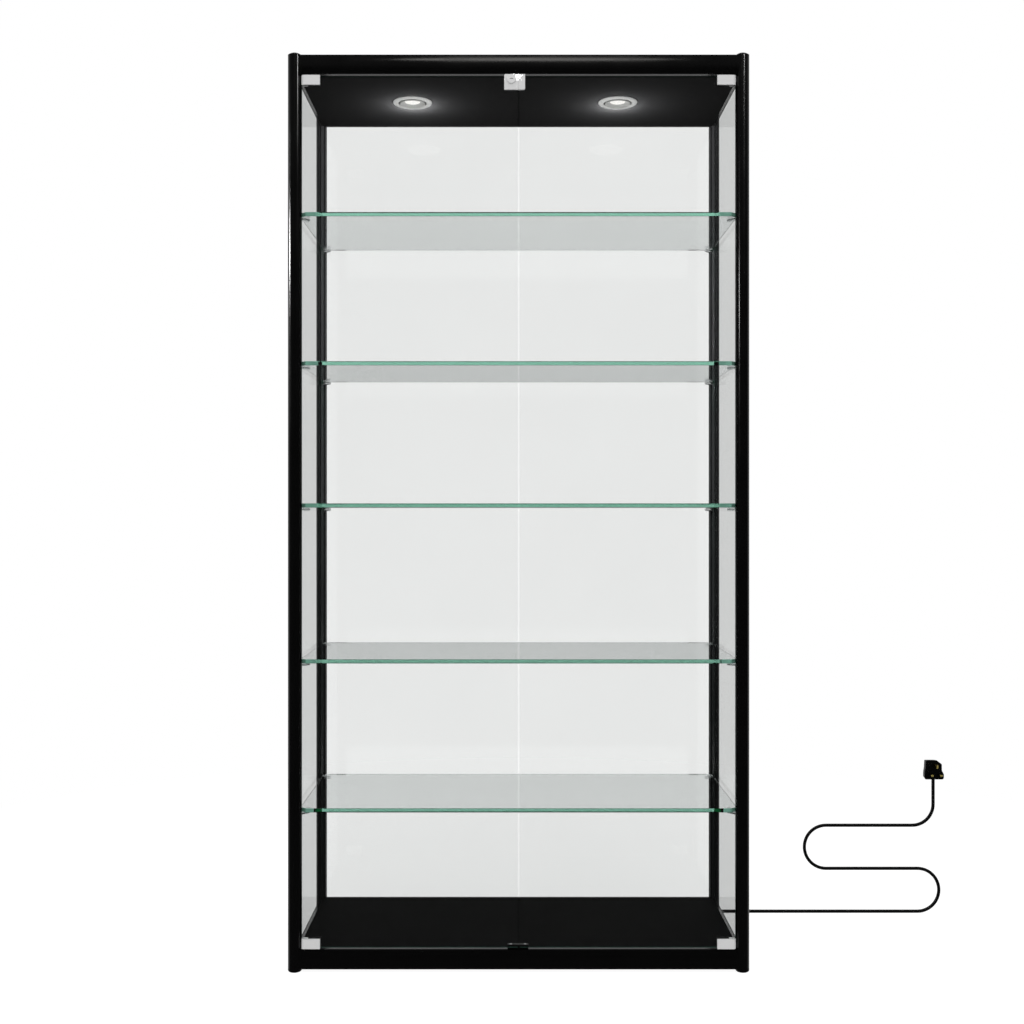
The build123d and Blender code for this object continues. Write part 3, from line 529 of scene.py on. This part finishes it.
def lens_profile(radius=17.3, bottom=1940.0, rise=2.4, top=1945.6):
    """Flat-topped disc with a domed underside, from axis to axis."""
    dome = [(radius * math.sin(math.radians(k)),
             bottom + rise * (1 - math.cos(math.radians(k)))) for k in range(6, 91, 6)]
    return [(0, bottom), *dome, (radius, top), (0, top)]


def heat_sink_profile():
    """Base disc, six fins that narrow upwards, and a neck, from axis to axis."""
    profile = [(0, 1946.0), (23.0, 1946.0), (23.5, 1946.5), (23.5, 1949.6), (22.6, 1951.0)]
    for k in range(6):
        bottom = 1951.4 + k * 2.5
        rim = 22.0 - k * 1.15
        root = rim - 3.2
        profile += [(rim, bottom), (rim, bottom + 1.3), (root, bottom + 1.5),
                    (root, bottom + 2.4)]
    return profile + [(9.0, 1968.0), (9.0, 1972.6), (8.6, 1973.0), (0, 1973.0)]


for side, centre in SPOTS.items():
    bezel = lathe(f"bezel_{side}", centre, bezel_profile(), "bezel", "cabinet", 128)
    if side == "left":
        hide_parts("spotlight_bezels")
    body = f"{side}_spotlight"
    gimbal = lathe(f"gimbal_{side}", centre, GIMBAL_PROFILE, "funnel", body, 128)
    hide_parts(body)
    lens = lathe(f"lens_{side}", centre, lens_profile(), "lens", body, 96)
    lens.visible_glossy = False
    lathe(f"heat_sink_{side}", centre, heat_sink_profile(), "steel", body, 96)


# ------------------------------------------------------------------ world
def build_world():
    """White to the camera; a dim room in front and a paler one behind in mirror
    reflections; soft light from above and all round, and little from below."""
    scene.world = bpy.data.worlds.new("studio")
    w = Graph(scene.world, "OutputWorld")
    rays = w.add("LightPath").outputs
    view = w.axes("Generated")

    def fade(axis, span, to):
        return w.remap(view[axis], to, span, interpolation="SMOOTHSTEP")

    front = w.math("ADD", fade("Z", span=(0.16, 0.34), to=(0.03, 0.08)),
                   fade("Z", span=(-0.33, -0.22), to=(0.010, 0.0)))
    behind = fade("Y", span=(-0.15, 0.35), to=(0.0, 1.0))
    behind_strength = 0.55
    room = w.math("ADD", w.math("MULTIPLY", behind, behind_strength),
                  w.math("MULTIPLY", w.math("SUBTRACT", 1.0, behind), front))
    sky = fade("Z", span=(-0.25, 0.15), to=(0.10, 0.85))
    diffuse = rays["Is Diffuse Ray"]
    white = w.math("MAXIMUM", rays["Is Camera Ray"], rays["Is Transmission Ray"])
    soft = w.math("MULTIPLY", diffuse, sky)
    rest = w.math("SUBTRACT", 1.0, w.math("MAXIMUM", white, diffuse))
    strength = w.math("ADD", w.math("ADD", white, soft), w.math("MULTIPLY", rest, room))
    w.done(w.result("Background", Strength=strength, Color=(1, 1, 1)))


# ------------------------------------------------------------------ floor
def floor_material():
    """Pale floor that takes soft shadows near the cabinet and fades to white."""
    m = new_material("studio_floor")
    length = m.add("VectorMath", Vector=m.add("TexCoord").outputs["Object"])
    length.operation = "LENGTH"
    near = m.remap(length.outputs["Value"], to=(1.0, 0.0), span=(0.9, 2.2))
    rays = m.add("LightPath").outputs
    grain = m.noise(scale=40.0, detail=3.0)
    color = m.ramp(grain, low=(0.24, 0.24, 0.24), high=(0.26, 0.26, 0.26))
    diffuse = m.result("BsdfDiffuse", Color=color)
    seen = m.math("MAXIMUM", rays["Is Camera Ray"], rays["Is Transmission Ray"])
    # bare is floor that the camera sees through no pane
    no_pane = m.math("LESS_THAN", rays["Transparent Depth"], 0.5)
    bare = m.math("MULTIPLY", rays["Is Camera Ray"], no_pane)
    seen_glow, bare_glow, far_glow = 0.73, 0.20, 0.12
    glow = m.math("ADD", m.math("MULTIPLY", seen, seen_glow),
                  m.math("MULTIPLY", bare, bare_glow))
    emit_near = m.result("Emission", Strength=glow)
    emit_far = m.result("Emission", Strength=m.math("MAXIMUM", seen, far_glow))
    lit = m.feed_all(m.add("AddShader"), diffuse, emit_near)
    return m.done(m.mix(near, emit_far, lit))


build_world()
bpy.ops.mesh.primitive_plane_add(size=60.0, location=(CENTRE_X, CENTRE_Y, 0.0))
floor = bpy.context.object
floor.name = "studio_floor"
floor.data.materials.append(floor_material())
floor.visible_glossy = False


# ------------------------------------------------------------------ lights
def only(light, objects):
    """Restricts a light to a few objects."""
    receivers = bpy.data.collections.new(f"lit_by_{light.name}")
    for piece in objects:
        receivers.objects.link(piece)
    light.light_linking.receiver_collection = receivers


def add_light(name, kind, at, energy):
    light = bpy.data.objects.new(name, bpy.data.lights.new(name, kind))
    light.data.energy = energy
    scene.collection.objects.link(light)
    light.location = place(*at)
    return light


def area(name, at, target, size, energy, color=(1, 1, 1), shape="RECTANGLE",
         glossy=True, receivers=None):
    """Area light aimed at target; size is its width and height in metres."""
    light = add_light(name, "AREA", at, energy)
    light.data.shape = shape
    light.data.size, light.data.size_y = size
    light.data.color = color
    aim = place(*target) - place(*at)
    light.rotation_mode = "QUATERNION"
    light.rotation_quaternion = aim.to_track_quat("-Z", "Y")
    light.visible_camera = False
    light.visible_glossy = glossy
    if receivers:
        only(light, receivers)


satin_pieces = [nodes[name] for name in nodes if SLOT.get(name) == "satin_metal"]
rear_posts = [nodes["post_rear_left"], nodes["post_rear_right"]]
left_post, right_post = [nodes["post_front_left"]], [nodes["post_front_right"]]
lamp_rings = [bpy.data.objects[f"{part}_{side}"]
              for part in ("bezel", "gimbal") for side in SPOTS]

area("key_above", at=(70, -2600, 3362), target=(33, FRONT, 1972), size=(1.15, 0.34),
     energy=3.0, color=(1.0, 0.98, 0.94), shape="ELLIPSE")
area("top_fill", at=(0, 0, 4200), target=(0, 0, 0), size=(3.0, 3.0), energy=25)
area("silver_fill", at=(0, -9000, 1500), target=(0, FRONT, 1000), size=(3.0, 3.0),
     energy=220, glossy=False, receivers=satin_pieces)
area("case_fill", at=(0, -600, 1600), target=(0, 185, 1500), size=(0.5, 0.5),
     energy=290, glossy=False, receivers=rear_posts)
area("bezel_fill", at=(0, -60, 1690), target=(0, 0, CEILING), size=(0.9, 0.3),
     energy=1.42, glossy=False, receivers=lamp_rings)
area("strip_left", at=(-2973, -444, 2072), target=(-494, FRONT, 1563), size=(0.62, 0.20),
     energy=30, receivers=left_post)
area("strip_right", at=(-1686, -1452, 1869), target=(476, FRONT, 1455), size=(0.35, 0.24),
     energy=5.5, receivers=right_post)
area("line_left", at=(1586, -1588, 2930), target=(-481, -199, 1950), size=(0.10, 0.45),
     energy=8.5, receivers=left_post)
area("line_right", at=(1469, -2496, 3080), target=(489, -199, 2000), size=(0.10, 0.35),
     energy=12.0, receivers=right_post)

# a glow on the ceiling and a downward beam at each spotlight; soft sizes in metres
for side, (x, y) in SPOTS.items():
    glow = add_light(f"glow_{side}", "POINT", at=(x, y + 22, CEILING - 32), energy=9.9)
    glow.data.shadow_soft_size = 0.02
    glow.visible_glossy = False
    only(glow, [nodes["ceiling_panel"]])
    beam = add_light(f"beam_{side}", "SPOT", at=(x, y, 1930), energy=3)
    beam.data.spot_size = math.radians(70)
    beam.data.spot_blend = 0.9
    beam.data.shadow_soft_size = 0.018

# ------------------------------------------------------------------ glint card
# A small bright card, seen only as a glint in the polished lock plate.
CARD_REACH = 1500.0                 # distance of the card in front of the plate
# x and z of the glint's corners on the plate
GLINT = [(-16.0, 1941.0), (10.0, 1941.0), (1.0, 1928.6), (-8.0, 1928.6)]


def reflected(x, z):
    """Where the camera's sightline to (x, z) on the plate meets the card."""
    spread = CARD_REACH / (LOCK_FACE - CAMERA[1])
    return place(x + (x - CAMERA[0]) * spread, LOCK_FACE - CARD_REACH,
                 z + (z - CAMERA[2]) * spread)


def card_material():
    m = new_material("glint_card")
    strength = m.remap(m.noise(scale=6.0, detail=2.0), to=(22.0, 27.0))
    return m.done(m.result("Emission", Strength=strength))


card_mesh = bpy.data.meshes.new("glint_card")
card_mesh.from_pydata([tuple(reflected(x, z)) for x, z in GLINT], [], [(0, 1, 2, 3)])
card_mesh.materials.append(card_material())
card = bpy.data.objects.new("glint_card", card_mesh)
scene.collection.objects.link(card)
card.visible_camera = False
card.visible_diffuse = False
card.visible_transmission = False
card.visible_shadow = False
only(card, [nodes[f"lock_{part}"] for part in ("housing", "cover", "strike", "barrel")])

# ------------------------------------------------------------------ camera and render
camera = bpy.data.objects.new("camera", bpy.data.cameras.new("camera"))
scene.collection.objects.link(camera)
camera.location = place(*CAMERA)
camera.rotation_euler = (math.radians(90), 0, 0)
camera.data.sensor_width = 36.0
camera.data.lens = 44.45
camera.data.clip_start, camera.data.clip_end = 0.05, 100
scene.camera = camera

scene.view_settings.view_transform = "Standard"
scene.view_settings.look = "None"
cycles = scene.cycles
cycles.use_denoising = True
cycles.max_bounces = 32
cycles.transmission_bounces = 32
cycles.transparent_max_bounces = 40
cycles.glossy_bounces = 6
cycles.diffuse_bounces = 3
cycles.caustics_reflective = False
cycles.caustics_refractive = False
